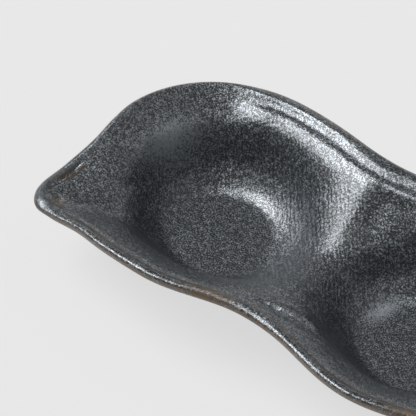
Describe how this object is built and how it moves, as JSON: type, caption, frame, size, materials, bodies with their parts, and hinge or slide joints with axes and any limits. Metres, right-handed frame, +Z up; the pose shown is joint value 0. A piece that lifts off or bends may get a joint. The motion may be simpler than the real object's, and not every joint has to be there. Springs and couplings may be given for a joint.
{
  "type": "three-compartment dish",
  "caption": "Pod-shaped glazed stoneware dish with round bowls in a row, saddles between them, a rolled lip and a beak at each end, for dips and condiments.",
  "frame": {"origin": "on the table plane under the middle of the dish's box", "axes": "+X along the row of bowls, +Y to the rear edge, away from the beaks, +Z up"},
  "size_m": [0.2668, 0.0934, 0.0349],
  "materials": {
    "clay": "matte unglazed stoneware",
    "iron_glaze": "satin charcoal iron glaze with fine grey speckle, brown where it is thin"
  },
  "bodies": {
    "root": {"stoneware_body": "clay", "foot_ring_left": "clay", "foot_ring_middle": "clay", "foot_ring_right": "clay", "inside_glaze": "iron_glaze", "outside_glaze": "iron_glaze"}
  },
  "joints": []
}
